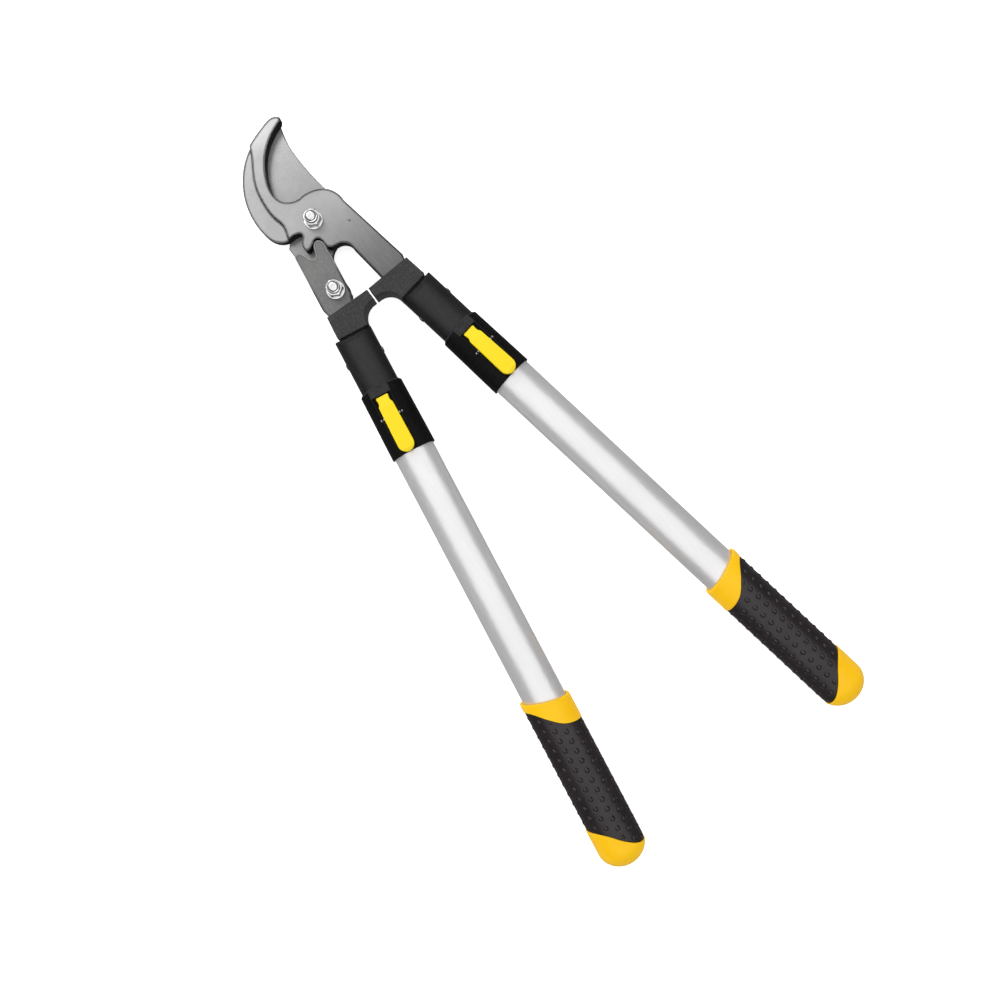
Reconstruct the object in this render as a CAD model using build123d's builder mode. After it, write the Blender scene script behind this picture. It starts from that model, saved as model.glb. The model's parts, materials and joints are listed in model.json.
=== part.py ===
"""Geared bypass loppers with telescopic handles, closed, collapsed and lying flat.

Millimetres. X points right, Y towards the jaw tip, Z up from the table.
The main pivot stands at X = 0, Y = 0. The two handles mirror each other about X = apex_x.
"""

from build123d import *

import os
from math import cos, radians, sin

os.makedirs("parts", exist_ok=True)

# levels above the table
mid_z = 15.0
plate = 7.5
plate_bottom = mid_z - plate / 2
plate_top = mid_z + plate / 2
face_gap = 0.3
blade_thickness = 4.5
blade_top = plate_bottom - face_gap
blade_bottom = blade_top - blade_thickness
land_depth = 2.7

# pivots
arm_pivot = (-20.7, -57.4)
bolt_diameter = 8.0
running_hole = 8.12
washer_diameter = 16.0
hex_across_flats = 13.0
head_height = 5.0
nut_hex_height = 5.8
nut_height = 8.0
bolt_stand = 0.35

# handle lines
tilt = radians(9.6)
apex_x = 1.0
apex_y = 101.5
extension = 330.0

# handle stations, measured along the handle from the apex
bracket_end = 199.3
spigot_end = 240.0
rivet_at = 221.0
housing_start = 248.6
outer_tube_start = 256.0
peg_at = 265.0
latch_pin_at = 276.9
housing_end = 309.0
collar_start = 547.6
dome_start = 684.8
grip_end = 702.8
left_grip_setback = 4.4
outer_tube_end = 688.0
inner_tube_end = 650.0
hole_pitch = extension / 3

# half sizes of the oval sections, across and upright
inner_tube = (16.7, 10.5)
inner_wall = 1.4
outer_tube = (17.8, 11.7)
outer_wall = 0.8
housing_oval = (19.4, 13.6)
sleeve_oval = (20.4, 14.2)
collar_oval = (20.9, 14.6)
cap_oval = (21.2, 15.0)

# latch
latch_offset = 1.5
pocket_width = 15.6
cheek_width = 17.8
pocket_floor = 27.0
latch_pin_z = 29.0
latch_pin_diameter = 2.5
peg_diameter = 4.0


def handle_point(across, along, z=0.0):
    """World position on the right handle, across is positive outwards."""
    x = apex_x + across * cos(tilt) + along * sin(tilt)
    y = apex_y + across * sin(tilt) - along * cos(tilt)
    return (x, y, z)


def cross_plane(along):
    """Plane square to the right handle: x across, y up."""
    return Plane(
        origin=handle_point(0, along, mid_z),
        x_dir=(cos(tilt), sin(tilt), 0),
        z_dir=(sin(tilt), -cos(tilt), 0),
    )


def top_plane(z):
    """Level plane of the right handle: x across, y towards the jaw."""
    return Plane(
        origin=(apex_x, apex_y, z),
        x_dir=(cos(tilt), sin(tilt), 0),
        z_dir=(0, 0, 1),
    )


def side_plane(across):
    """Upright plane along the right handle: x along, y up from the table."""
    return Plane(
        origin=handle_point(across, 0, 0),
        x_dir=(sin(tilt), -cos(tilt), 0),
        z_dir=(-cos(tilt), -sin(tilt), 0),
    )


mid_plane = Plane(origin=(apex_x, 0, 0), x_dir=(0, 1, 0), z_dir=(1, 0, 0))


# ------------------------------------------------- tube rivet and hidden tang
rivet_face = inner_tube[0] + 0.7
rivet_seat = inner_tube[0] - 1.0

with BuildPart() as right_tube_rivet:
    with BuildSketch(cross_plane(rivet_at)):
        with BuildLine():
            Polyline(
                (-rivet_face, 0),
                (-rivet_face, 1.8),
                (-rivet_face + 0.5, 2.6),
                (-rivet_seat, 2.6),
                (-rivet_seat, 2.0),
                (rivet_seat, 2.0),
                (rivet_seat, 2.6),
                (rivet_face - 0.5, 2.6),
                (rivet_face, 1.8),
                (rivet_face, 0),
                (-rivet_face, 0),
            )
        make_face()
    revolve(axis=Axis(handle_point(0, rivet_at, mid_z), (cos(tilt), sin(tilt), 0)))

with BuildPart() as tang:
    with BuildSketch(top_plane(plate_bottom)):
        with Locations((0, -206.0)):
            Rectangle(18.0, 62.0)
    extrude(amount=plate)
    add(right_tube_rivet.part, mode=Mode.SUBTRACT)


# ---------------------------------------------------------------- hook and arm
with BuildPart() as hook_blade:
    with BuildSketch(Plane.XY.offset(plate_bottom)):
        with BuildLine():
            # outer back of the hook, from the tip down to the lower corner
            Spline(
                (29.6, 86.0),
                (25.5, 89.0),
                (13.0, 88.0),
                (-8.8, 80.0),
                (-29.8, 60.2),
                (-38.6, 40.5),
                (-40.6, 22.0),
                (-37.0, 7.2),
                (-27.4, 0.0),
            )
            Line((-27.4, 0.0), (-20.6, 0.2))
            # open notch, tooth and closed notch around the main pivot
            Line((-20.6, 0.2), (-17.0, -0.8))
            ThreePointArc((-17.0, -0.8), (-14.9, -3.2), (-15.9, -5.7))
            Spline((-15.9, -5.7), (-18.6, -8.0), (-20.3, -11.0), (-20.8, -14.2))
            ThreePointArc((-20.8, -14.2), (-19.6, -16.7), (-16.6, -17.0))
            Line((-16.6, -17.0), (-11.6, -14.6))
            ThreePointArc((-11.6, -14.6), (-7.6, -13.2), (-4.6, -16.8))
            Line((-4.6, -16.8), (-4.6, -22.2))
            # throat between the arms, then the inner edge of the arm
            Spline(
                (-4.6, -22.2),
                (-3.0, -25.6),
                (1.2, -27.4),
                (6.0, -28.3),
                (10.4, -31.4),
                (12.4, -38.0),
            )
            Line((12.4, -38.0), (16.2, -70.0))
            Line((16.2, -70.0), (17.8, -80.0))
            Line((17.8, -80.0), (40.6, -80.0))
            Line((40.6, -80.0), (40.9, -70.2))
            Line((40.9, -70.2), (41.8, -67.6))
            # outer edge of the arm, shoulder and jaw
            Line((41.8, -67.6), (30.2, -2.0))
            Spline((30.2, -2.0), (28.6, 8.2), (24.2, 14.8), (15.8, 19.9), (5.0, 22.0))
            Spline(
                (5.0, 22.0),
                (-5.8, 23.6),
                (-12.4, 29.8),
                (-14.2, 36.8),
                (-10.0, 52.5),
                (0.0, 67.1),
                (12.6, 77.0),
                (27.6, 83.2),
            )
            Line((27.6, 83.2), (29.6, 86.0))
        make_face()
    extrude(amount=plate)
    add(tang.part)
    # lowered land along the back of the hook
    with BuildSketch(Plane.XY.offset(plate_top)):
        with BuildLine():
            Spline(
                (-5.0, 82.0),
                (-7.4, 76.6),
                (-14.0, 66.0),
                (-21.4, 52.2),
                (-24.7, 37.0),
                (-24.5, 21.0),
                (-22.8, 12.6),
                (-24.6, 5.2),
                (-27.2, -3.0),
            )
            Line((-27.2, -3.0), (-50.0, -3.0))
            Line((-50.0, -3.0), (-50.0, 95.0))
            Line((-50.0, 95.0), (-5.0, 95.0))
            Line((-5.0, 95.0), (-5.0, 82.0))
        make_face()
    extrude(amount=-land_depth, mode=Mode.SUBTRACT)
    with BuildSketch(Plane.XY.offset(plate_bottom)):
        Circle(bolt_diameter / 2)
    extrude(amount=plate, mode=Mode.SUBTRACT)


# --------------------------------------------------------------- cutting blade
with BuildPart() as cutting_blade:
    with BuildSketch(Plane.XY.offset(blade_bottom)):
        with BuildLine():
            # concave spine, shoulder behind the pivot and right side of the tail
            Spline((26.8, 85.2), (22.7, 72.4), (21.3, 52.0), (23.0, 28.0), (26.2, 8.0))
            Spline((26.2, 8.0), (21.0, -13.0), (6.0, -24.0), (-4.6, -29.2), (-8.6, -38.0), (-10.2, -57.4))
            # round end about the arm pivot, left side of the tail
            ThreePointArc((-10.2, -57.4), (-20.7, -67.9), (-31.2, -57.4))
            Line((-31.2, -57.4), (-31.2, -3.2))
            Line((-31.2, -3.2), (-27.0, 1.2))
            Line((-27.0, 1.2), (-22.0, 12.0))
        with BuildLine() as cutting_edge:
            Spline((-22.0, 12.0), (-20.6, 32.0), (-9.6, 59.6), (12.0, 80.0), (26.8, 85.2))
        make_face()
    extrude(amount=blade_thickness)
    # bevel on the back of the cutting edge
    bevel = cutting_blade.edges().filter_by(
        lambda e: e.center().Z < blade_bottom + 0.01
    ).sort_by_distance((-13.0, 54.0, blade_bottom))[0]
    chamfer(bevel, length=3.7, length2=6.5)
    with BuildSketch(Plane.XY.offset(blade_bottom)):
        Circle(running_hole / 2)
        with Locations(arm_pivot):
            Circle(bolt_diameter / 2)
    extrude(amount=blade_thickness, mode=Mode.SUBTRACT)


# -------------------------------------------------------------------- gear arm
with BuildPart() as gear_arm:
    with BuildSketch(Plane.XY.offset(plate_bottom)):
        with BuildLine():
            Line((-38.6, -80.0), (-38.9, -70.2))
            Line((-38.9, -70.2), (-39.7, -64.6))
            Line((-39.7, -64.6), (-31.8, -16.4))
            # shoulder tooth, valley and driving tooth
            Spline(
                (-31.8, -16.4),
                (-30.2, -14.3),
                (-28.0, -13.9),
                (-26.0, -15.3),
                (-23.6, -20.4),
                (-21.4, -24.9),
                (-18.6, -26.2),
                (-16.2, -24.2),
                (-14.4, -19.6),
                (-11.8, -15.8),
                (-8.5, -14.9),
                (-6.0, -16.6),
                (-5.1, -21.6),
                (-6.2, -31.0),
            )
            Line((-6.2, -31.0), (-12.2, -67.6))
            Line((-12.2, -67.6), (-14.2, -70.0))
            Line((-14.2, -70.0), (-15.8, -80.0))
            Line((-15.8, -80.0), (-38.6, -80.0))
        make_face()
    extrude(amount=plate)
    mirror(tang.part, about=mid_plane)
    with BuildSketch(Plane.XY.offset(plate_bottom)):
        with Locations(arm_pivot):
            Circle(running_hole / 2)
    extrude(amount=plate, mode=Mode.SUBTRACT)


# ------------------------------------------------------- bolts, washers, nuts
def pivot_bolt(x, y, z, reach):
    """Hex-head bolt pointing up, with its head resting at height z."""
    with BuildPart() as bolt:
        with BuildSketch(Plane((x, y, z))):
            RegularPolygon(hex_across_flats / 2, 6, major_radius=False)
        extrude(amount=head_height)
        chamfer(bolt.faces().sort_by(Axis.Z)[0].edges(), length=0.5)
        with BuildSketch(Plane((x, y, z + head_height))):
            Circle(bolt_diameter / 2)
        extrude(amount=reach - head_height)
        chamfer(bolt.faces().sort_by(Axis.Z)[-1].edges(), length=0.7)
    return bolt


def washer(x, y, z, thickness):
    with BuildPart() as ring:
        with BuildSketch(Plane((x, y, z))):
            Circle(washer_diameter / 2)
            Circle(bolt_diameter / 2, mode=Mode.SUBTRACT)
        extrude(amount=thickness)
        chamfer(ring.faces().sort_by(Axis.Z)[-1].outer_wire().edges(), length=0.25)
    return ring


def locking_nut(x, y, z):
    """Hex nut with a round locking collar on top."""
    with BuildPart() as nut:
        with BuildSketch(Plane((x, y, z))):
            RegularPolygon(hex_across_flats / 2, 6, major_radius=False)
        extrude(amount=nut_hex_height)
        chamfer(nut.faces().sort_by(Axis.Z)[-1].edges(), length=0.4)
        with BuildSketch(Plane((x, y, z + nut_hex_height))):
            Circle(5.8)
        extrude(amount=nut_height - nut_hex_height)
        fillet(nut.faces().sort_by(Axis.Z)[-1].edges(), radius=0.8)
        with BuildSketch(Plane((x, y, z))):
            Circle(bolt_diameter / 2)
        extrude(amount=nut_height, mode=Mode.SUBTRACT)
    return nut


main_front = plate_top + 1.5
main_pivot_bolt = pivot_bolt(0, 0, 0, main_front + nut_height + bolt_stand)
main_washer_back = washer(0, 0, head_height, 1.2)
main_washer_front = washer(0, 0, plate_top, 1.5)
main_pivot_nut = locking_nut(0, 0, main_front)

arm_back = blade_bottom - 1.2
arm_front = plate_top + 0.25 + 1.5
arm_reach = arm_front + nut_height + bolt_stand - (arm_back - head_height)
arm_pivot_bolt = pivot_bolt(*arm_pivot, arm_back - head_height, arm_reach)
arm_washer_back = washer(*arm_pivot, arm_back, 1.2)
arm_washer_front = washer(*arm_pivot, arm_front - 1.5, 1.5)
arm_pivot_nut = locking_nut(*arm_pivot, arm_front)


# ------------------------------------------------------------ handle bracket
def bevel_cut():
    """Wedges that slope the tube end down towards the bracket, above and below."""
    with BuildPart() as wedges:
        with BuildSketch(side_plane(0)):
            with BuildLine():
                Polyline(
                    (bracket_end, mid_z + 4.0),
                    (bracket_end + 8.0, mid_z + 12.0),
                    (bracket_end, mid_z + 12.0),
                    (bracket_end, mid_z + 4.0),
                )
            make_face()
            with BuildLine():
                Polyline(
                    (bracket_end, mid_z - 4.0),
                    (bracket_end + 8.0, mid_z - 12.0),
                    (bracket_end, mid_z - 12.0),
                    (bracket_end, mid_z - 4.0),
                )
            make_face()
        extrude(amount=20, both=True)
    return wedges


bevels = bevel_cut()
block_lower_outer = handle_point(12.3, bracket_end)[:2]
block_lower_inner = handle_point(-16.2, bracket_end)[:2]

with BuildPart() as right_bracket:
    # spigot that fills the upper end of the inner tube
    with BuildSketch(cross_plane(bracket_end)):
        Ellipse(inner_tube[0] - inner_wall, inner_tube[1] - inner_wall)
    extrude(amount=spigot_end - bracket_end)
    add(bevels.part, mode=Mode.SUBTRACT)
    with BuildSketch(Plane.XY.offset(mid_z - 8.0)) as block:
        with BuildLine():
            Line((1.8, -74.0), (42.4, -72.5))
            Line((42.4, -72.5), block_lower_outer)
            Line(block_lower_outer, block_lower_inner)
            ThreePointArc(block_lower_inner, (14.3, -87.7), (4.6, -83.7))
            Line((4.6, -83.7), (1.8, -83.7))
            Line((1.8, -83.7), (1.8, -74.0))
        make_face()
        fillet(block.vertices().group_by(Axis.X)[-1], radius=1.8)
    extrude(amount=16.0)
    flat_faces = right_bracket.faces().filter_by(Axis.Z)
    rims = flat_faces.sort_by(Axis.Z)[-1].edges() + flat_faces.sort_by(Axis.Z)[0].edges()
    fillet(rims, radius=0.9)
    add(hook_blade.part, mode=Mode.SUBTRACT)
    add(right_tube_rivet.part, mode=Mode.SUBTRACT)


# ---------------------------------------------------------------- inner tube
with BuildPart() as right_inner_tube:
    with BuildSketch(cross_plane(bracket_end)):
        Ellipse(*inner_tube)
        Ellipse(inner_tube[0] - inner_wall, inner_tube[1] - inner_wall, mode=Mode.SUBTRACT)
    extrude(amount=inner_tube_end - bracket_end)
    add(bevels.part, mode=Mode.SUBTRACT)
    add(right_tube_rivet.part, mode=Mode.SUBTRACT)
    # latch holes at every stop of the telescopic travel
    with BuildSketch(top_plane(mid_z)):
        for stop in range(4):
            with Locations((latch_offset, -peg_at - stop * hole_pitch)):
                Circle(peg_diameter / 2 + 0.5)
    extrude(amount=15.0, mode=Mode.SUBTRACT)

with BuildPart() as right_tube_glide:
    with BuildSketch(cross_plane(inner_tube_end - 10.0)):
        Ellipse(inner_tube[0] - inner_wall, inner_tube[1] - inner_wall)
    extrude(amount=10.0)
    with BuildSketch(cross_plane(inner_tube_end)):
        Ellipse(inner_tube[0] + 0.2, inner_tube[1] + 0.2)
    extrude(amount=4.0)
    fillet(right_tube_glide.edges().sort_by(Axis.Y)[0], radius=0.8)
    with BuildSketch(cross_plane(inner_tube_end - 11.0)):
        Ellipse(inner_tube[0] - inner_wall - 2.0, inner_tube[1] - inner_wall - 2.0)
    extrude(amount=13.0, mode=Mode.SUBTRACT)


# ------------------------------------------------- outer tube and its housing
with BuildPart() as right_outer_tube:
    with BuildSketch(cross_plane(outer_tube_start)):
        Ellipse(*outer_tube)
        Ellipse(outer_tube[0] - outer_wall, outer_tube[1] - outer_wall, mode=Mode.SUBTRACT)
    extrude(amount=outer_tube_end - outer_tube_start)
    with BuildSketch(top_plane(mid_z)):
        with Locations((latch_offset, -peg_at)):
            Circle(peg_diameter / 2 + 0.7)
    extrude(amount=15.0, mode=Mode.SUBTRACT)

with BuildPart() as right_latch_pin:
    with BuildSketch(side_plane(latch_offset)):
        with Locations((latch_pin_at, latch_pin_z)):
            Circle(latch_pin_diameter / 2)
    extrude(amount=10.2, both=True)
    chamfer(right_latch_pin.edges(), length=0.3)

with BuildPart() as right_latch_housing:
    with BuildSketch(cross_plane(housing_start)):
        Ellipse(housing_oval[0] - 0.5, housing_oval[1] - 0.3)
    with BuildSketch(cross_plane(housing_end)):
        Ellipse(housing_oval[0] + 0.2, housing_oval[1] + 0.2)
    loft()
    chamfer(right_latch_housing.faces().sort_by(Axis.Y)[-1].edges(), length=1.6)
    # ramp and cheeks that stand up beside the lever
    with BuildSketch(side_plane(latch_offset)):
        with BuildLine():
            Polyline(
                (housing_start, mid_z + 8.0),
                (housing_start, 27.6),
                (257.6, 30.8),
                (284.0, 30.8),
                (300.0, 27.2),
                (300.0, mid_z + 8.0),
                (housing_start, mid_z + 8.0),
            )
        make_face()
    extrude(amount=cheek_width / 2, both=True)
    with BuildSketch(cross_plane(housing_start)):
        Ellipse(inner_tube[0] + 0.3, inner_tube[1] + 0.3)
    extrude(amount=housing_end - housing_start, mode=Mode.SUBTRACT)
    with BuildSketch(cross_plane(outer_tube_start)):
        Ellipse(*outer_tube)
    extrude(amount=housing_end - outer_tube_start, mode=Mode.SUBTRACT)
    # pocket for the lever, pin bore and peg bore
    with BuildSketch(side_plane(latch_offset)):
        with Locations((258.0, pocket_floor)):
            Rectangle(60.0, 12.0, align=(Align.MIN, Align.MIN))
    extrude(amount=pocket_width / 2, both=True, mode=Mode.SUBTRACT)
    add(right_latch_pin.part, mode=Mode.SUBTRACT)
    with BuildSketch(top_plane(mid_z)):
        with Locations((latch_offset, -peg_at)):
            Circle(peg_diameter / 2 + 0.7)
    extrude(amount=15.0, mode=Mode.SUBTRACT)


# ----------------------------------------------------- latch lever and spring
with BuildPart() as right_latch_peg:
    with BuildSketch(top_plane(mid_z + inner_tube[1] + face_gap)):
        with Locations((latch_offset, -peg_at)):
            Circle(peg_diameter / 2)
    extrude(amount=4.2)
    chamfer(right_latch_peg.edges().sort_by(Axis.Z)[0], length=0.4)

with BuildPart() as right_latch_lever:
    with BuildSketch(side_plane(latch_offset)):
        with BuildLine():
            Polyline(
                (258.4, 27.5),
                (258.4, 30.0),
                (268.0, 31.9),
                (298.0, 34.3),
                (306.5, 34.4),
                (309.4, 33.2),
                (309.4, 31.7),
                (278.0, 27.5),
                (258.4, 27.5),
            )
        make_face()
    extrude(amount=8.0, both=True)
    # plan view: narrow head, neck, long flanks and a rounded thumb end
    with BuildSketch(top_plane(20.0)):
        with BuildLine() as plan:
            Polyline(
                (latch_offset, -258.4),
                (latch_offset + 4.6, -258.4),
                (latch_offset + 5.6, -259.4),
                (latch_offset + 5.1, -262.0),
                (latch_offset + 5.1, -264.4),
                (latch_offset + 6.4, -267.0),
                (latch_offset + 6.9, -302.0),
            )
            ThreePointArc(
                (latch_offset + 6.9, -302.0),
                (latch_offset + 4.8, -307.2),
                (latch_offset, -309.4),
            )
            mirror(about=Plane.YZ.offset(latch_offset))
        make_face()
    extrude(amount=20.0, mode=Mode.INTERSECT)
    upper = right_latch_lever.edges().filter_by(lambda e: e.center().Z > 29.6)
    fillet(upper.filter_by(lambda e: e.length > 1.0), radius=0.7)
    # pivot bore, peg seat and spring pocket
    with BuildSketch(side_plane(latch_offset)):
        with Locations((latch_pin_at, latch_pin_z)):
            Circle(latch_pin_diameter / 2 + 0.06)
    extrude(amount=9.0, both=True, mode=Mode.SUBTRACT)
    add(right_latch_peg.part, mode=Mode.SUBTRACT)
    with BuildSketch(top_plane(pocket_floor)):
        with Locations((latch_offset, -292.0)):
            Circle(3.7)
    extrude(amount=5.1, mode=Mode.SUBTRACT)

with BuildPart() as right_latch_spring:
    with BuildLine() as coil:
        Helix(
            pitch=1.4,
            height=4.2,
            radius=2.7,
            center=handle_point(latch_offset, 292.0, pocket_floor + 0.4),
        )
    with BuildSketch(Plane(origin=coil.line @ 0, z_dir=coil.line % 0)):
        Circle(0.35)
    sweep()


# ----------------------------------------------------------------------- grip
def domed_form(oval, reach):
    """Oval bar that ends in a half-ellipsoid at the grip end."""
    dome = scale(Sphere(1.0), by=(oval[0], oval[1], reach))
    with BuildPart() as form:
        with BuildSketch(cross_plane(530.0)):
            Ellipse(*oval)
        extrude(amount=dome_start - 530.0)
        add(cross_plane(dome_start).location * dome)
    return form


collar_line = ((25, -548.7), (15, -552.0), (5, -560.8), (-5, -569.3), (-15, -573.6), (-25, -575.7))
cap_line = ((25, -661.2), (15, -663.7), (5, -669.7), (-5, -678.7), (-15, -686.7), (-25, -691.2))
rim_slope = 0.242

collar_form = domed_form(collar_oval, 17.6)
sleeve_form = domed_form(sleeve_oval, 17.2)
cap_form = domed_form(cap_oval, grip_end - dome_start)

with BuildPart() as tube_space:
    with BuildSketch(cross_plane(520.0)):
        Ellipse(*outer_tube)
    extrude(amount=outer_tube_end + left_grip_setback - 520.0)

with BuildPart() as right_grip_collar:
    add(collar_form.part)
    with BuildSketch(top_plane(0)):
        with BuildLine():
            Line((25, -collar_start + 25 * rim_slope), (-25, -collar_start - 25 * rim_slope))
            Line((-25, -collar_start - 25 * rim_slope), collar_line[-1])
            Spline(*reversed(collar_line))
            Line(collar_line[0], (25, -collar_start + 25 * rim_slope))
        make_face()
    extrude(amount=32.0, mode=Mode.INTERSECT)
    add(tube_space.part, mode=Mode.SUBTRACT)

with BuildPart() as right_grip_sleeve:
    add(sleeve_form.part)
    with BuildSketch(top_plane(0)):
        with BuildLine():
            Spline(*collar_line)
            Line(collar_line[-1], cap_line[-1])
            Spline(*reversed(cap_line))
            Line(cap_line[0], collar_line[0])
        make_face()
    extrude(amount=32.0, mode=Mode.INTERSECT)
    add(tube_space.part, mode=Mode.SUBTRACT)

with BuildPart() as right_grip_cap:
    add(cap_form.part)
    with BuildSketch(top_plane(0)):
        with BuildLine():
            Spline(*cap_line)
            Line(cap_line[-1], (-25, -710))
            Line((-25, -710), (25, -710))
            Line((25, -710), cap_line[0])
        make_face()
    extrude(amount=32.0, mode=Mode.INTERSECT)
    add(tube_space.part, mode=Mode.SUBTRACT)


# --------------------------------------------------------------------- export
head_parts = {
    "hook_blade": hook_blade,
    "cutting_blade": cutting_blade,
    "gear_arm": gear_arm,
    "main_pivot_bolt": main_pivot_bolt,
    "main_washer_back": main_washer_back,
    "main_washer_front": main_washer_front,
    "main_pivot_nut": main_pivot_nut,
    "arm_pivot_bolt": arm_pivot_bolt,
    "arm_washer_back": arm_washer_back,
    "arm_washer_front": arm_washer_front,
    "arm_pivot_nut": arm_pivot_nut,
}
handle_parts = {
    "bracket": right_bracket,
    "tube_rivet": right_tube_rivet,
    "inner_tube": right_inner_tube,
    "tube_glide": right_tube_glide,
    "outer_tube": right_outer_tube,
    "latch_housing": right_latch_housing,
    "latch_pin": right_latch_pin,
    "latch_lever": right_latch_lever,
    "latch_peg": right_latch_peg,
    "latch_spring": right_latch_spring,
    "grip_collar": right_grip_collar,
    "grip_sleeve": right_grip_sleeve,
    "grip_cap": right_grip_cap,
}

for name, piece in head_parts.items():
    piece.part.label = name
    export_step(piece.part, f"parts/{name}.step")

for name, piece in handle_parts.items():
    piece.part.label = f"right_{name}"
    export_step(piece.part, f"parts/right_{name}.step")
    setback = left_grip_setback if name.startswith("grip") else 0.0
    with BuildPart() as left_piece:
        with Locations((setback * sin(tilt), setback * cos(tilt), 0)):
            add(mirror(piece.part, about=mid_plane, mode=Mode.PRIVATE))
    left_piece.part.label = f"left_{name}"
    export_step(left_piece.part, f"parts/left_{name}.step")
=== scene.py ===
"""Geared bypass loppers: materials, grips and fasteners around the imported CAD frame.

Metres, in the CAD frame: X right, Y towards the jaw tip, Z up from the table.
"""

import json
import math

import bmesh
import bpy
import numpy as np
from mathutils import Matrix, Vector


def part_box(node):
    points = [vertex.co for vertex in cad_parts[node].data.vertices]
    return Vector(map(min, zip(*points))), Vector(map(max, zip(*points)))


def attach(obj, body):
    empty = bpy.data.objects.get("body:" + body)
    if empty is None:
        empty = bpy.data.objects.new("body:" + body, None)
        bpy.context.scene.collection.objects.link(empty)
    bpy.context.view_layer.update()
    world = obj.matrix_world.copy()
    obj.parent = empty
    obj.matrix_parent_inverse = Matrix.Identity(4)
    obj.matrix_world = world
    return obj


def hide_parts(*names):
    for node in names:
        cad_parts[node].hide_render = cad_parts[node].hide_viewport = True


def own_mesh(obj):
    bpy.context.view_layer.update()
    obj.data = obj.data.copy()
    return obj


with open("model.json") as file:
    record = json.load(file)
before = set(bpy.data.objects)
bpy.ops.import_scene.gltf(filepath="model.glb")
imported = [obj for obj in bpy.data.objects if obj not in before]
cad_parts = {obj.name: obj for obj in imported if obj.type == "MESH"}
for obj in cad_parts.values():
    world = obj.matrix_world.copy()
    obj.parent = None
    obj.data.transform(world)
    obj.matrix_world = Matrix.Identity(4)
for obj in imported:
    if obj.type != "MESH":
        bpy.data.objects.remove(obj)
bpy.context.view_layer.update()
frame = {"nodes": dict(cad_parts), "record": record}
nodes = frame["nodes"]

MM = 0.001
TILT = math.radians(9.6)
APEX = Vector((0.001, 0.1015, 0.0))
MID_Z = 15.0


def handle_point(across, along, z, side):
    """Point on a handle from mm: across is positive outwards, side is 1 right and -1 left."""
    x = across * math.cos(TILT) + along * math.sin(TILT)
    y = across * math.sin(TILT) - along * math.cos(TILT)
    return Vector((APEX.x + side * x * MM, APEX.y + y * MM, z * MM))


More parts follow.
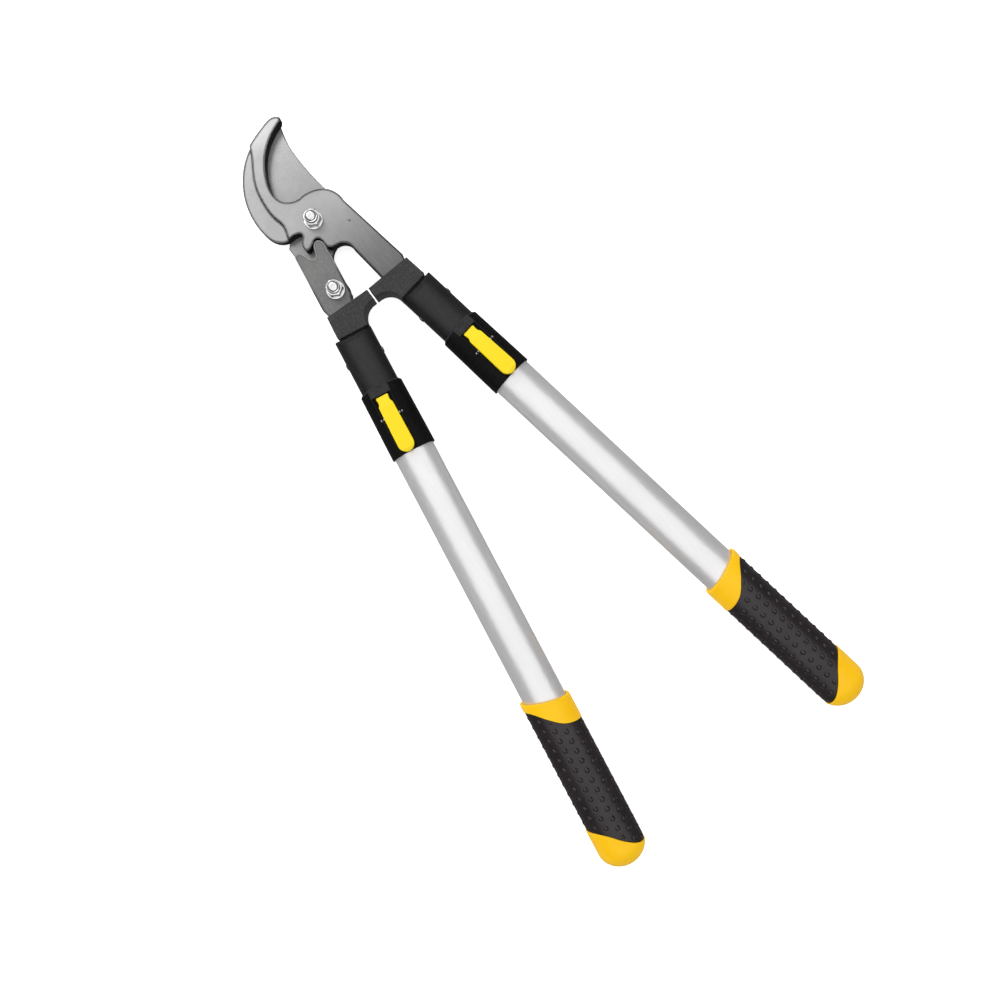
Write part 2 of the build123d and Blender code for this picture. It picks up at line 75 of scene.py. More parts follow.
# ------------------------------------------------------------ material helper
class Nodes:
    """Adds and links the shader nodes of one material."""

    def __init__(self, name):
        self.mat = bpy.data.materials.new(name)
        self.mat.use_nodes = True
        self.tree = self.mat.node_tree
        self.bsdf = self.tree.nodes["Principled BSDF"]
        coordinates = self.tree.nodes.new("ShaderNodeTexCoord")
        # both turn with the piece, because they are in its own axes
        self.place = coordinates.outputs["Object"]
        self.facing = coordinates.outputs["Normal"]

    def new(self, kind, **settings):
        node = self.tree.nodes.new(kind)
        for key, value in settings.items():
            setattr(node, key, value)
        return node

    def link(self, a, b):
        self.tree.links.new(a, b)

    def stretched(self, scale):
        node = self.new("ShaderNodeMapping")
        node.inputs["Scale"].default_value = scale
        self.link(self.place, node.inputs["Vector"])
        return node.outputs["Vector"]

    def noise(self, scale, detail=4.0, rough=0.6, vector=None):
        node = self.new("ShaderNodeTexNoise")
        node.inputs["Scale"].default_value = scale
        node.inputs["Detail"].default_value = detail
        node.inputs["Roughness"].default_value = rough
        self.link(vector or self.place, node.inputs["Vector"])
        return node.outputs["Fac"]

    def ramp(self, fac, *stops):
        """Colour ramp; a stop's value is a grey number or a colour."""
        node = self.new("ShaderNodeValToRGB")
        ramp = node.color_ramp
        while len(ramp.elements) < len(stops):
            ramp.elements.new(0.5)
        for element, (position, value) in zip(ramp.elements, stops):
            element.position = position
            colour = value if isinstance(value, tuple) else (value,) * 3
            element.color = (*colour, 1)
        self.link(fac, node.inputs["Fac"])
        return node.outputs["Color"]

    def mix(self, fac, a, b):
        node = self.new("ShaderNodeMix", data_type="RGBA")
        if isinstance(fac, float):
            node.inputs[0].default_value = fac
        else:
            self.link(fac, node.inputs[0])
        for socket, value in ((node.inputs[6], a), (node.inputs[7], b)):
            if isinstance(value, tuple):
                socket.default_value = (*value, 1)
            else:
                self.link(value, socket)
        return node.outputs[2]

    def math(self, operation, a, b=0.5):
        node = self.new("ShaderNodeMath", operation=operation)
        for socket, value in ((node.inputs[0], a), (node.inputs[1], b)):
            if isinstance(value, (int, float)):
                socket.default_value = value
            else:
                self.link(value, socket)
        return node.outputs[0]

    def axis(self, vector, name):
        node = self.new("ShaderNodeSeparateXYZ")
        self.link(vector, node.inputs[0])
        return node.outputs[name]

    def bump(self, height, strength, distance):
        node = self.new("ShaderNodeBump")
        node.inputs["Strength"].default_value = strength
        node.inputs["Distance"].default_value = distance
        self.link(height, node.inputs["Height"])
        return node.outputs["Normal"]

    def rounded_normal(self, radius):
        node = self.new("ShaderNodeBevel", samples=6)
        node.inputs["Radius"].default_value = radius
        return node.outputs["Normal"]

    def sharp_edge_mask(self, radius, low=0.35, high=0.75):
        """White where the surface turns a sharp corner."""
        geometry = self.new("ShaderNodeNewGeometry")
        dot = self.new("ShaderNodeVectorMath", operation="DOT_PRODUCT")
        self.link(self.rounded_normal(radius), dot.inputs[0])
        self.link(geometry.outputs["Normal"], dot.inputs[1])
        return self.ramp(dot.outputs["Value"], (low, 1.0), (high, 0.0))

    def side_walls(self):
        """White on walls that stand square to the plate's flat faces."""
        up = self.math("ABSOLUTE", self.axis(self.facing, "Z"))
        return self.ramp(up, (0.55, 1.0), (0.85, 0.0))

    def rolled_rim(self, radius, inner, outer):
        """White along a flat face's outline, where the edge rolls over."""
        up = self.math("ABSOLUTE", self.axis(self.rounded_normal(radius), "Z"))
        return self.ramp(up, (outer, 1.0), (inner, 0.0))

    def out(self, specular=0.5, **sockets):
        self.bsdf.inputs["Specular IOR Level"].default_value = specular
        for name, value in sockets.items():
            socket = self.bsdf.inputs[name.replace("_", " ")]
            if isinstance(value, (int, float)):
                socket.default_value = value
            else:
                self.link(value, socket)
        return self.mat


# ------------------------------------------------------------------ materials
BRACKET_Y, TIP_Y = -0.12, 0.09
# where a plate's five greys apply, as shares of the way from the brackets to the jaw tip; their
# rise is painted shade, darker towards the brackets and lighter towards the tip
GREY_STATIONS = (0.05, 0.33, 0.57, 0.90, 1.0)
# how level a flat face's rounded normal is where the painted dark rim starts, and where it is full
RIM_STARTS, RIM_FULL = 0.998, 0.984
# the gear arm's teeth get a painted highlight along their outline, fading in between these two
# places along Y
ARM_PLAIN_Y, TEETH_Y = -0.052, -0.038
# a colour ramp reads 0 to 1 only, so Y is raised by this much first
Y_RAISE = 0.5


def plate_steel(name, greys, smooth, rough, rim_width, metallic=1.0):
    """Ground plate steel with painted shade: darker towards the handles, and near black on its
    walls and along its rolled rims.
    """
    n = Nodes(name)
    from_brackets = n.math("SUBTRACT", n.axis(n.place, "Y"), BRACKET_Y)
    span = n.math("DIVIDE", from_brackets, TIP_Y - BRACKET_Y)
    # painted shade: the grey falls from the jaw tip towards the brackets
    painted_shade_by_y = n.ramp(span, *zip(GREY_STATIONS, greys))
    cloud = n.noise(26.0, 5.0, 0.62)
    grind = n.noise(1.0, 4.0, 0.65, n.stretched((700, 60, 700)))
    speck = n.noise(480.0, 3.0, 0.7)
    pits = n.noise(150.0, 2.0, 0.5)
    tone = n.mix(n.ramp(cloud, (0.35, 0.0), (0.7, 0.22)), painted_shade_by_y, (0.09, 0.09, 0.09))
    tone = n.mix(n.ramp(grind, (0.45, 0.0), (0.75, 0.16)), tone, (0.32, 0.32, 0.315))
    tone = n.mix(n.ramp(speck, (0.60, 0.0), (0.75, 0.25)), tone, (0.04, 0.04, 0.04))
    tone = n.mix(n.ramp(pits, (0.74, 0.0), (0.80, 0.7)), tone, (0.03, 0.03, 0.03))
    # painted shade: walls and rolled rims darkened to near black, standing in for dark reflections
    scale = n.math("MAXIMUM", n.side_walls(), n.rolled_rim(rim_width, RIM_STARTS, RIM_FULL))
    tone = n.mix(n.math("MULTIPLY", scale, 0.96), tone, (0.006, 0.006, 0.006))
    roughness = n.mix(scale, n.ramp(n.noise(90.0), (0.3, smooth), (0.7, rough)), (0.6,) * 3)
    height = n.mix(0.5, grind, speck)
    return n.out(
        Base_Color=tone,
        Metallic=metallic,
        Roughness=roughness,
        Normal=n.bump(height, 0.16, 0.0002),
    )


def blasted_steel(name):
    """Forged and blasted arm: dark and speckled, with a painted highlight along the teeth's
    outline and painted shade on its walls and rims.
    """
    n = Nodes(name)
    speck = n.noise(560.0, 4.0, 0.75)
    cloud = n.noise(45.0, 5.0, 0.6)
    tone = n.ramp(cloud, (0.3, (0.13, 0.13, 0.129)), (0.7, (0.155, 0.155, 0.153)))
    tone = n.mix(n.ramp(speck, (0.46, 0.0), (0.64, 0.35)), tone, (0.27, 0.27, 0.266))
    tone = n.mix(n.ramp(n.noise(300.0, 3.0), (0.62, 0.0), (0.72, 0.5)), tone, (0.05, 0.05, 0.05))
    raised_y = n.math("ADD", n.axis(n.place, "Y"), Y_RAISE)
    near_teeth = n.ramp(raised_y, (ARM_PLAIN_Y + Y_RAISE, 0.0), (TEETH_Y + Y_RAISE, 0.75))
    # painted highlight along the teeth's rounded outline
    edge_highlight = n.math("MULTIPLY", n.rolled_rim(0.0018, 0.995, 0.95), near_teeth)
    tone = n.mix(edge_highlight, tone, (0.60, 0.60, 0.59))
    # painted shade: walls and rims darkened to near black, less so near the teeth
    away = n.math("SUBTRACT", 1.0, n.math("MULTIPLY", near_teeth, 0.7))
    rim = n.math("MULTIPLY", n.rolled_rim(0.0030, RIM_STARTS, RIM_FULL), away)
    scale = n.math("MAXIMUM", n.side_walls(), rim)
    tone = n.mix(n.math("MULTIPLY", scale, 0.95), tone, (0.012, 0.012, 0.012))
    height = n.mix(0.4, speck, n.noise(160.0, 3.0))
    return n.out(
        Base_Color=tone,
        Metallic=0.95,
        Roughness=n.ramp(speck, (0.3, 0.42), (0.7, 0.58)),
        Normal=n.bump(height, 0.5, 0.0003),
    )


def plating(name, bright, dull):
    """Bright plating with faint handling marks."""
    n = Nodes(name)
    marks = n.noise(600.0, 4.0, 0.6)
    tone = n.ramp(n.noise(240.0, 3.0), (0.35, (bright,) * 3), (0.75, (dull,) * 3))
    return n.out(
        Base_Color=tone,
        Metallic=1.0,
        Roughness=n.ramp(marks, (0.3, 0.07), (0.75, 0.18)),
        Normal=n.bump(marks, 0.06, 0.0001),
    )


def nylon(name, dark, pale, fleck, specular, edge_highlight, painted_ramp_highlight=False):
    """Spark-textured black nylon, with painted highlight on its corners and, if asked, on the ramp
    facet.
    """
    n = Nodes(name)
    grain = n.noise(720.0, 3.0, 0.75)
    cloud = n.noise(60.0)
    tone = n.ramp(cloud, (0.3, (dark,) * 3), (0.7, (pale,) * 3))
    tone = n.mix(n.ramp(grain, (0.48, 0.0), (0.70, 0.9)), tone, (fleck,) * 3)
    # painted highlight: the corners made paler
    paler_edges = n.math("MULTIPLY", n.sharp_edge_mask(0.0010, 0.6, 0.95), edge_highlight)
    tone = n.mix(paler_edges, tone, (0.13, 0.13, 0.134))
    if painted_ramp_highlight:
        # painted highlight: the facet that faces the jaws and upwards made paler
        to_jaws = n.ramp(n.axis(n.facing, "Y"), (0.20, 0.0), (0.28, 1.0))
        upwards = n.ramp(n.axis(n.facing, "Z"), (0.35, 0.0), (0.50, 1.0))
        facet = n.math("MULTIPLY", to_jaws, upwards)
        patch = n.ramp(n.noise(420.0, 3.0), (0.3, (0.016,) * 3), (0.7, (0.034,) * 3))
        tone = n.mix(facet, tone, patch)
    return n.out(
        specular,
        Base_Color=tone,
        Roughness=n.ramp(grain, (0.3, 0.44), (0.7, 0.60)),
        Normal=n.bump(grain, 0.7, 0.0003),
    )


def coated_tube(name):
    """Satin black coated tube with faint lengthwise rubbing and a little dust."""
    n = Nodes(name)
    dust = n.noise(900.0, 2.0, 0.5)
    rub = n.noise(1.0, 4.0, 0.6, n.stretched((260, 22, 260)))
    tone = n.ramp(rub, (0.35, (0.005, 0.005, 0.0055)), (0.75, (0.011, 0.011, 0.0115)))
    tone = n.mix(n.ramp(dust, (0.66, 0.0), (0.78, 0.4)), tone, (0.07, 0.07, 0.07))
    paler_edges = n.math("MULTIPLY", n.sharp_edge_mask(0.0009, 0.6, 0.95), 0.4)
    tone = n.mix(paler_edges, tone, (0.10, 0.10, 0.102))
    return n.out(
        0.34,
        Base_Color=tone,
        Roughness=n.ramp(n.noise(120.0), (0.3, 0.36), (0.7, 0.48)),
        Normal=n.bump(n.mix(0.5, rub, dust), 0.10, 0.0002),
    )


def drawn_aluminium(name):
    """Satin anodised tube with very fine drawing lines."""
    n = Nodes(name)
    lines = n.noise(1.0, 4.0, 0.6, n.stretched((1500, 14, 1500)))
    cloud = n.noise(14.0, 3.0)
    tone = n.ramp(lines, (0.35, (0.72, 0.715, 0.72)), (0.7, (0.80, 0.795, 0.80)))
    tone = n.mix(n.ramp(cloud, (0.35, 0.0), (0.7, 0.25)), tone, (0.62, 0.60, 0.615))
    return n.out(
        Base_Color=tone,
        Metallic=0.6,
        Roughness=n.ramp(lines, (0.3, 0.28), (0.7, 0.38)),
        Normal=n.bump(lines, 0.05, 0.0001),
    )


def moulding(name, deep, pale):
    """Coloured moulding: slight flow clouding, a fine skin and paler rubbed corners."""
    n = Nodes(name)
    tone = n.ramp(n.noise(35.0, 4.0, 0.55), (0.3, deep), (0.7, pale))
    paler_edges = n.math("MULTIPLY", n.sharp_edge_mask(0.0005), 0.35)
    tone = n.mix(paler_edges, tone, (0.95, 0.88, 0.45))
    return n.out(
        0.22,
        Base_Color=tone,
        Roughness=n.ramp(n.noise(140.0), (0.3, 0.30), (0.7, 0.42)),
        Normal=n.bump(n.noise(900.0, 3.0), 0.08, 0.0001),
    )


def rubber(name):
    """Satin moulded rubber, warm black, polished by the hand."""
    n = Nodes(name)
    deep, pale = (0.0055, 0.0022, 0.0034), (0.0115, 0.0055, 0.0075)
    tone = n.ramp(n.noise(45.0, 5.0), (0.3, deep), (0.7, pale))
    return n.out(
        0.50,
        Base_Color=tone,
        Roughness=n.ramp(n.noise(130.0), (0.3, 0.30), (0.7, 0.42)),
        Normal=n.bump(n.noise(1100.0, 3.0), 0.22, 0.00014),
    )


# plate greys from the brackets to the tip: painted shade, darker towards the brackets
HOOK_GREYS = (0.052, 0.15, 0.31, 0.335, 0.43)
BLADE_GREYS = (0.085, 0.15, 0.30, 0.42, 0.46)

materials = {
    "forged_hook": plate_steel("forged_hook_steel", HOOK_GREYS, 0.27, 0.38, 0.0030),
    "blade_steel": plate_steel("ground_blade_steel", BLADE_GREYS, 0.22, 0.32, 0.0012, 0.5),
    "forged_arm": blasted_steel("blasted_arm_steel"),
    "bright_fastener": plating("bright_plating", 0.70, 0.50),
    "black_nylon": nylon("bracket_nylon", 0.017, 0.024, 0.062, 0.28, 0.5),
    "black_tube": coated_tube("satin_black_tube"),
    "rivet_steel": plating("blackened_rivet", 0.10, 0.07),
    "silver_tube": drawn_aluminium("satin_silver_tube"),
    "yellow_grip": moulding("yellow_grip_plastic", (0.98, 0.535, 0.002), (1.0, 0.59, 0.005)),
    "black_rubber": rubber("studded_black_rubber"),
    "yellow_lever": moulding("yellow_lever_plastic", (0.92, 0.69, 0.006), (0.95, 0.73, 0.011)),
}
housing_nylon = nylon("housing_nylon", 0.0022, 0.0035, 0.009, 0.10, 0.10, painted_ramp_highlight=True)
insert_nylon = nylon("locking_insert_nylon", 0.010, 0.014, 0.03, 0.3, 0.2)
pin_steel = plating("latch_pin_steel", 0.26, 0.16)

slots = {row["node"]: row["material_slot"] for row in frame["record"]["subparts"]}
for name, obj in nodes.items():
    obj.data.materials.clear()
    obj.data.materials.append(materials[slots[name]])
for side in ("left", "right"):
    nodes[f"{side}_latch_housing"].data.materials[0] = housing_nylon
    nodes[f"{side}_latch_pin"].data.materials[0] = pin_steel


# --------------------------------------------------------------- mesh helpers
WELD = 1e-7
SHARP = math.radians(32)


def add_piece(name, verts, faces, body, slot, material=None):
    """Smooth-shaded mesh piece that rides on a body."""
    mesh = bpy.data.meshes.new(name)
    mesh.from_pydata([tuple(v) for v in verts], [], faces)
    bm = bmesh.new()
    bm.from_mesh(mesh)
    bmesh.ops.remove_doubles(bm, verts=bm.verts, dist=WELD)
    bmesh.ops.recalc_face_normals(bm, faces=bm.faces)
    for edge in bm.edges:
        edge.smooth = edge.calc_face_angle(0.0) < SHARP
    for face in bm.faces:
        face.smooth = True
    bm.to_mesh(mesh)
    bm.free()
    mesh.materials.append(material or materials[slot])
    obj = bpy.data.objects.new(name, mesh)
    bpy.context.scene.collection.objects.link(obj)
    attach(obj, body)
    return obj


def ring_faces(rings, count, close_loop=False):
    """Quads between successive rings of count points; close_loop joins the last to the first."""
    faces = []
    for i in range(rings if close_loop else rings - 1):
        low, high = i * count, ((i + 1) % rings) * count
        for j in range(count):
            k = (j + 1) % count
            faces.append((low + j, low + k, high + k, high + j))
    return faces


def curve_through(points):
    """Smooth function through a few (x, y) points with x rising."""
    xs = np.array([p[0] for p in points], float)
    ys = np.array([p[1] for p in points], float)
    slopes = np.gradient(ys, xs)

    def value(x):
        x = float(np.clip(x, xs[0], xs[-1]))
        i = int(np.clip(np.searchsorted(xs, x) - 1, 0, len(xs) - 2))
        h = xs[i + 1] - xs[i]
        t = (x - xs[i]) / h
        start = (2 * t**3 - 3 * t**2 + 1) * ys[i] + (t**3 - 2 * t**2 + t) * h * slopes[i]
        end = (3 * t**2 - 2 * t**3) * ys[i + 1] + (t**3 - t**2) * h * slopes[i + 1]
        return start + end

    return value


# ----------------------------------------------------------------------- grips
# mm: places along a handle from the apex, and ovals as (half width, half height)
LEFT_SETBACK = 4.4
DOME_START = 684.8
SLEEVE_OVAL = (20.3, 14.1)
COLLAR_OVAL = (20.85, 14.55)
CAP_OVAL = (21.15, 14.95)
CAP_REACH = 18.0
STUD_PITCH = 8.95
STUD_ROWS = 12
STUD_RADIUS = 1.95
STUD_HEIGHT = 1.05
# the moat round each stud: its depth below the skin, and its width
MOAT_DEPTH = 0.30
MOAT_WIDTH = 0.8
FIRST_STUD = 555.6
# how far each row of studs is shifted along the grip, in pitches
ROW_SHIFTS = (0.0, 0.56, 0.90, 0.38)

collar_edge = curve_through(
    [(-25, 575.7), (-15, 573.6), (-5, 569.3), (5, 560.8), (15, 552.0), (25, 548.7)]
)
cap_edge = curve_through(
    [(-25, 691.2), (-15, 686.7), (-5, 678.7), (5, 669.7), (15, 663.7), (25, 661.2)]
)
# the collar's upper rim is a plane cut: its place on the middle line, and its slope
RIM_MIDDLE, RIM_SLOPE = 547.6, -0.242


def rim_edge(across):
    return RIM_MIDDLE + RIM_SLOPE * across


def dome_scale(along, reach):
    """How much the oval shrinks towards the rounded end of the grip."""
    if along <= DOME_START:
        return 1.0
    turn = min(1.0, (along - DOME_START) / reach)
    return math.sqrt(max(0.0, 1.0 - turn * turn))


def oval_arc(half_width, half_height, count):
    """Length along the oval to each of its points, and all the way round."""
    lengths = [0.0]
    for j in range(count):
        a, b = 2 * math.pi * j / count, 2 * math.pi * (j + 1) / count
        step_x = half_width * (math.cos(b) - math.cos(a))
        step_y = half_height * (math.sin(b) - math.sin(a))
        lengths.append(lengths[-1] + math.hypot(step_x, step_y))
    return lengths


def stud_relief(arc, along, girth):
    """Height of the studs at a place on the sleeve: a flat-topped dome in a shallow moat."""
    gap = girth / STUD_ROWS
    nearest = math.floor(arc / gap)
    distance = math.inf
    for row in (nearest - 1, nearest, nearest + 1):
        start = FIRST_STUD + STUD_PITCH * ROW_SHIFTS[row % len(ROW_SHIFTS)]
        step = round((along - start) / STUD_PITCH)
        centre = start + step * STUD_PITCH
        distance = min(distance, math.hypot(arc - (row + 0.5) * gap, along - centre))
    if distance < STUD_RADIUS:
        return STUD_HEIGHT * (1 - (distance / STUD_RADIUS) ** 5) - MOAT_DEPTH
    if distance < STUD_RADIUS + MOAT_WIDTH:
        return -MOAT_DEPTH * (1 - (distance - STUD_RADIUS) / MOAT_WIDTH)
    return 0.0


def build_sleeve(label, place):
    """Studded rubber sleeve, its two ends tucked under the yellow mouldings."""
    count, rings = 280, 270
    tuck, seam_width, seam_depth, plain_band = 0.3, 0.7, 0.45, 2.2
    reach = CAP_REACH - 0.8
    half_width, half_height = SLEEVE_OVAL
    arc = oval_arc(half_width, half_height, count)
    verts = []
    for i in range(rings):
        for j in range(count):
            angle = 2 * math.pi * j / count
            u, v = half_width * math.cos(angle), half_height * math.sin(angle)
            first, last = collar_edge(u) - tuck, cap_edge(u) + tuck
            along = first + (last - first) * i / (rings - 1)
            shrink = dome_scale(along, reach)
            edge = min(along - collar_edge(u), cap_edge(u) - along)
            relief = -seam_depth * max(0.0, 1 - max(edge, 0.0) / seam_width) ** 2
            if edge > plain_band:
                relief += stud_relief(arc[j], along, arc[-1]) * min(1.0, edge - plain_band)
            nx, nz = math.cos(angle) / half_width, math.sin(angle) / half_height
            length = math.hypot(nx, nz)
            across = u * shrink + relief * nx / length
            height = v * shrink + relief * nz / length
            verts.append(place(across, along, MID_Z + height))
    sleeve = add_piece(
        f"{label}_studded_sleeve", verts, ring_faces(rings, count), f"{label}_grip", "black_rubber"
    )
    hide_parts(f"{label}_grip_sleeve")


def build_collar(label, place):
    """Yellow collar: inner wall, rounded rim, slightly crowned skin and tucked lower edge."""
    count, skin_rings = 160, 26
    half_width, half_height = COLLAR_OVAL
    verts = []

    def ring(inset, station):
        for j in range(count):
            angle = 2 * math.pi * j / count
            u = (half_width + inset) * math.cos(angle)
            v = (half_height + inset) * math.sin(angle)
            verts.append(place(u, station(u), MID_Z + v))

    # (inset, offset) of each ring, from the inner wall over the rounded rim
    rim = ((-2.95, 3.0), (-2.95, 0.5), (-2.55, 0.05), (-1.7, -0.05), (-0.8, 0.0), (-0.25, 0.2))
    skin_start, skin_end, crown_height = 0.75, 0.25, 0.05
    for inset, offset in rim:
        ring(inset, lambda u, offset=offset: rim_edge(u) + offset)
    for i in range(skin_rings + 1):
        share = i / skin_rings
        crown = crown_height * math.sin(math.pi * share)

        def station(u, share=share):
            length = collar_edge(u) - rim_edge(u) - skin_start - skin_end
            return rim_edge(u) + skin_start + length * share

        ring(crown, station)
    for inset, offset in ((-0.25, 0.0), (-1.1, 0.15)):
        ring(inset, lambda u, offset=offset: collar_edge(u) + offset)
    rings = len(verts) // count
    collar = add_piece(
        f"{label}_yellow_collar", verts, ring_faces(rings, count), f"{label}_grip", "yellow_grip"
    )
    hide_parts(f"{label}_grip_collar")


def build_cap(label, place):
    """Yellow end cap: a lip against the sleeve, then the rounded end."""
    count, rings = 160, 60
    # (step along the grip, step outwards) of the lip's rings, in mm from the cap's edge and skin
    lip_rings = ((-0.2, -1.0), (-0.05, -0.25), (0.12, -0.05))
    half_width, half_height = CAP_OVAL
    verts = []
    for i in range(-len(lip_rings), rings):
        for j in range(count):
            angle = 2 * math.pi * j / count
            u, v = half_width * math.cos(angle), half_height * math.sin(angle)
            inset = 1.0
            if i < 0:
                # a negative index counts from the table's end, so -3 is its first ring
                step, lip = lip_rings[i]
                along = cap_edge(u) + step
                shrink = dome_scale(along, CAP_REACH)
                inset = 1 + lip / half_width
            else:
                first = cap_edge(u) + 0.35
                straight = DOME_START - first
                run = (straight + CAP_REACH * math.pi / 2) * i / rings
                if run < straight:
                    along, shrink = first + run, 1.0
                elif straight > 0:
                    turn = (run - straight) / CAP_REACH
                    along, shrink = DOME_START + CAP_REACH * math.sin(turn), math.cos(turn)
                else:
                    begin = math.asin(min(1.0, -straight / CAP_REACH))
                    turn = begin + (math.pi / 2 - begin) * i / rings
                    along, shrink = DOME_START + CAP_REACH * math.sin(turn), math.cos(turn)
            verts.append(place(u * shrink * inset, along, MID_Z + v * shrink * inset))
    ring_count = rings + len(lip_rings)
    tip = len(verts)
    verts.append(place(0, DOME_START + CAP_REACH, MID_Z))
    last = (ring_count - 1) * count
    faces = ring_faces(ring_count, count)
    faces += [(last + j, last + (j + 1) % count, tip) for j in range(count)]
    cap = add_piece(f"{label}_yellow_end_cap", verts, faces, f"{label}_grip", "yellow_grip")
    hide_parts(f"{label}_grip_cap")


def build_grip(label, side):
    setback = LEFT_SETBACK if side < 0 else 0.0

    def place(across, along, z):
        return handle_point(across, along - setback, z, side)

    build_sleeve(label, place)
    build_collar(label, place)
    build_cap(label, place)


build_grip("right", 1)
build_grip("left", -1)


# ------------------------------------------------------------------- fasteners
def turned(name, centre, profile, body, material=None):
    """Closed turned piece from a loop of (radius, z) in mm about an upright axis."""
    count = 96
    verts = []
    for radius, z in profile:
        for j in range(count):
            angle = 2 * math.pi * j / count
            x = centre[0] + radius * math.cos(angle)
            y = centre[1] + radius * math.sin(angle)
            verts.append((x * MM, y * MM, z * MM))
    faces = ring_faces(len(profile), count, close_loop=True)
    return add_piece(name, verts, faces, body, "bright_fastener", material)


def locking_nut(name, centre, z, body):
    """Hex nut with chamfered corners and a rolled locking collar, and its nylon insert."""
    count = 144
    flat = 6.5
    bore = 4.35
    verts = []
    # each level: height, limit of the corner chamfer, and None where the section is round
    levels = (
        (0.0, bore, None),
        (0.0, 6.1, None),
        (0.0, 6.45, 6.6),
        (0.5, 8.0, 7.25),
        (0.9, 8.0, 8.0),
        (4.6, 8.0, 8.0),
        (5.3, 8.0, 7.15),
        (5.75, 8.0, 6.45),
        (5.8, 6.1, None),
        (5.85, 5.55, None),
        (6.2, 5.42, None),
        (7.3, 5.42, None),
        (7.75, 5.25, None),
        (8.0, 4.9, None),
        (7.95, 4.6, None),
        (7.6, 4.45, None),
        (6.9, bore, None),
    )
    for height, radius, chamfer in levels:
        for j in range(count):
            angle = 2 * math.pi * j / count
            turn = (angle + math.pi / 6) % (math.pi / 3) - math.pi / 6
            across = radius if chamfer is None else min(flat / math.cos(turn), chamfer)
            x = centre[0] + across * math.cos(angle)
            y = centre[1] + across * math.sin(angle)
            verts.append((x * MM, y * MM, (z + height) * MM))
    faces = ring_faces(len(levels), count, close_loop=True)
    nut = add_piece(name, verts, faces, body, "bright_fastener")
    profile = ((bore, z + 6.2), (4.05, z + 6.4), (4.05, z + 7.3), (4.5, z + 7.55), (bore, z + 6.9))
    turned(f"{name}_insert", centre, profile, body, insert_nylon)
    return nut


def washer(name, centre, low, high, body):
    """Flat washer with one rounded edge, as punched."""
    outer, inner = 8.0, 4.2
    profile = (
        (inner, low),
        (outer - 0.1, low),
        (outer, low + 0.2),
        (outer, high - 0.55),
        (outer - 0.18, high - 0.16),
        (outer - 0.55, high),
        (inner + 0.2, high),
        (inner, high - 0.15),
    )
    return turned(name, centre, profile, body)


def threaded_end(name, centre, low, high, body):
    """Bolt end that stands through the nut: thread crests below a chamfered tip."""
    hub, root, crest, pitch = 0.05, 4.02, 4.12, 1.0
    profile = [(hub, low)]
    z = low
    while z < high - 1.1:
        profile += [(root, z), (crest, z + 0.3), (crest, z + 0.45), (root, z + 0.75)]
        z += pitch
    profile += [
        (crest, high - 0.45),
        (3.95, high - 0.25),
        (3.35, high + 0.3),
        (3.05, high + 0.42),
        (1.6, high + 0.5),
        (hub, high + 0.5),
    ]
    turned(name, centre, profile, body)


# each bolt's axis in mm, and the body that the bolt turns with
PIVOTS = {
    "main": ((0.0, 0.0), "hook_frame"),
    "arm": ((-20.7, -57.4), "blade"),
}
# the threaded end starts inside the nut, this far above its foot
THREAD_START = 5.0
for pivot, (centre, body) in PIVOTS.items():
    nut_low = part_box(f"{pivot}_pivot_nut")[0][2] / MM
    washer_low, washer_high = (corner[2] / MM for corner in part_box(f"{pivot}_washer_front"))
    bolt_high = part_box(f"{pivot}_pivot_bolt")[1][2] / MM
    nut = locking_nut(f"{pivot}_locking_nut", centre, nut_low, body)
    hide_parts(f"{pivot}_pivot_nut")
    flat_washer = washer(f"{pivot}_flat_washer", centre, washer_low, washer_high, body)
    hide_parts(f"{pivot}_washer_front")
    threaded_end(f"{pivot}_bolt_end", centre, nut_low + THREAD_START, bolt_high, body)


# --------------------------------------------------------------- latch springs
def body_of(node):
    """Name of the body that a CAD node rides on."""
    bodies = frame["record"]["behaviour"]["bodies"]
    return next(body for body, members in bodies.items() if node in members)


def latch_spring(side):
    """Coil spring with closed, tapering ends; on the real latch it shortens as the lever is
    pressed.
    """
    node = f"{side}_latch_spring"
    low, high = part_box(node)
    coil_radius, wire, turns = 2.7, 0.35, 4.0
    count, steps = 12, 220
    # how strongly the end coils close up, and the share of the length where the wire is thinned
    closing, taper = 0.35, 0.02
    centre = [(low[axis] + high[axis]) / 2 / MM for axis in (0, 1)]
    bottom, top = low[2] / MM + wire, high[2] / MM - wire
    verts = []
    for i in range(steps + 1):
        share = i / steps
        rise = share - closing * math.sin(2 * math.pi * share) / (2 * math.pi)
        thin = wire * (1.0 if taper < share < 1 - taper else 0.55)
        turn = 2 * math.pi * turns * share
        for j in range(count):
            angle = 2 * math.pi * j / count
            radius = coil_radius + thin * math.cos(angle)
            x = centre[0] + radius * math.cos(turn)
            y = centre[1] + radius * math.sin(turn)
            z = bottom + (top - bottom) * rise + thin * math.sin(angle)
            verts.append((x * MM, y * MM, z * MM))
    faces = ring_faces(steps + 1, count)
    faces.append(tuple(range(count)))
    faces.append(tuple(steps * count + j for j in range(count)))
    coil = add_piece(f"{side}_coil_spring", verts, faces, body_of(node), "bright_fastener")
    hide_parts(node)
    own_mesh(coil)


latch_spring("right")
latch_spring("left")


# ------------------------------------------------------- stage, light, camera
def floor_material():
    n = Nodes("pale_floor")
    tone = n.ramp(n.noise(3.0, 3.0), (0.3, (0.93, 0.93, 0.93)), (0.7, (0.96, 0.96, 0.96)))
    n.bsdf.inputs["Emission Color"].default_value = (1, 1, 1, 1)
    n.bsdf.inputs["Emission Strength"].default_value = 0.66
    return n.out(0.1, Base_Color=tone, Roughness=0.9)


FLOOR_HALF = 6.0
# just below the part, so that the two don't share a plane
FLOOR_DROP = 0.0002


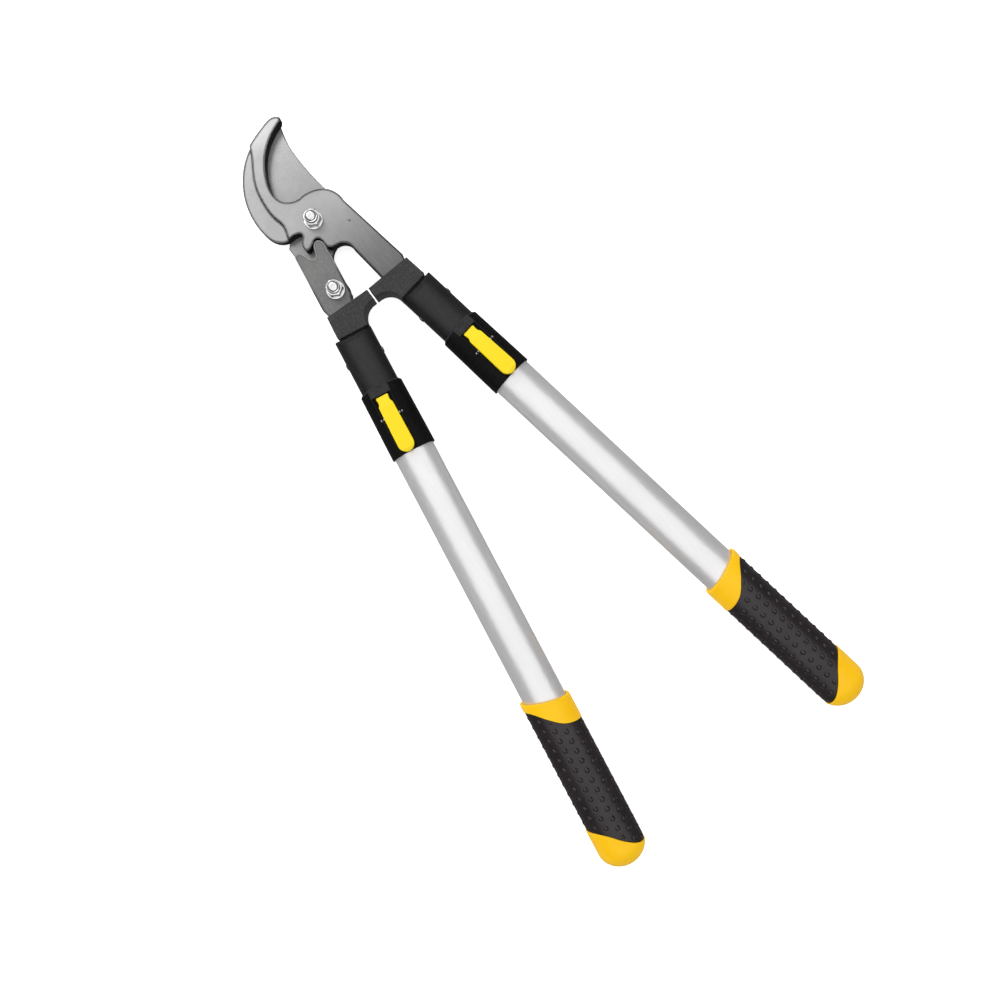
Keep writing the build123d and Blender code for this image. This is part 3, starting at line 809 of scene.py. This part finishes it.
def add_floor():
    mesh = bpy.data.meshes.new("floor")
    bm = bmesh.new()
    bmesh.ops.create_grid(bm, x_segments=8, y_segments=8, size=FLOOR_HALF)
    bm.to_mesh(mesh)
    bm.free()
    mesh.materials.append(floor_material())
    floor = bpy.data.objects.new("floor", mesh)
    floor.location.z = -FLOOR_DROP
    floor.visible_glossy = False
    bpy.context.scene.collection.objects.link(floor)


def add_world():
    """Dim room light, with a pale backdrop where the camera sees past the floor."""
    world = bpy.data.worlds.new("studio")
    bpy.context.scene.world = world
    world.use_nodes = True
    tree = world.node_tree
    fill = tree.nodes["Background"]
    fill.inputs["Color"].default_value = (1, 1, 1, 1)
    fill.inputs["Strength"].default_value = 0.27
    backdrop = tree.nodes.new("ShaderNodeBackground")
    backdrop.inputs["Color"].default_value = (1, 1, 1, 1)
    backdrop.inputs["Strength"].default_value = 1.0
    path = tree.nodes.new("ShaderNodeLightPath")
    either = tree.nodes.new("ShaderNodeMixShader")
    tree.links.new(path.outputs["Is Camera Ray"], either.inputs["Fac"])
    tree.links.new(fill.outputs["Background"], either.inputs[1])
    tree.links.new(backdrop.outputs["Background"], either.inputs[2])
    tree.links.new(either.outputs["Shader"], tree.nodes["World Output"].inputs["Surface"])


def softbox(name, location, target, size, radiance):
    """A rectangular softbox of even brightness, aimed at a point."""
    light = bpy.data.lights.new(name, "AREA")
    light.shape = "RECTANGLE"
    light.size, light.size_y = size
    light.energy = radiance * math.pi * size[0] * size[1]
    obj = bpy.data.objects.new(name, light)
    obj.location = location
    direction = Vector(target) - Vector(location)
    obj.rotation_euler = direction.to_track_quat("-Z", "Y").to_euler()
    bpy.context.scene.collection.objects.link(obj)


CAMERA_PLACE = (-0.0182, -0.2796, 0.57375)
CAMERA_RIGHT = (0.7944, -0.6074, 0.0)
CAMERA_UP = (0.6074, 0.7944, 0.0)
CAMERA_BACK = (0.0, 0.0, 1.0)
# half the picture's width over the distance to it
HALF_VIEW = 0.7514


def add_camera():
    """Looks straight down from above the handles, turned so that the tip points up and left."""
    camera = bpy.data.objects.new("camera", bpy.data.cameras.new("camera"))
    camera.data.angle = 2 * math.atan(HALF_VIEW)
    camera.data.clip_start = 0.01
    turn = Matrix((CAMERA_RIGHT, CAMERA_UP, CAMERA_BACK)).transposed().to_4x4()
    camera.matrix_world = Matrix.Translation(CAMERA_PLACE) @ turn
    bpy.context.scene.collection.objects.link(camera)
    bpy.context.scene.camera = camera


add_floor()
add_world()
softbox("ceiling_softbox", (0.0, -0.2, 1.5), (0.0, -0.2, 0.0), (2.5, 3.6), 1.10)
softbox("key_softbox", (-0.2, 1.75, 1.2), (0.0, 0.0, 0.0), (1.6, 1.3), 3.1)
add_camera()
bpy.context.scene.view_settings.view_transform = "Standard"
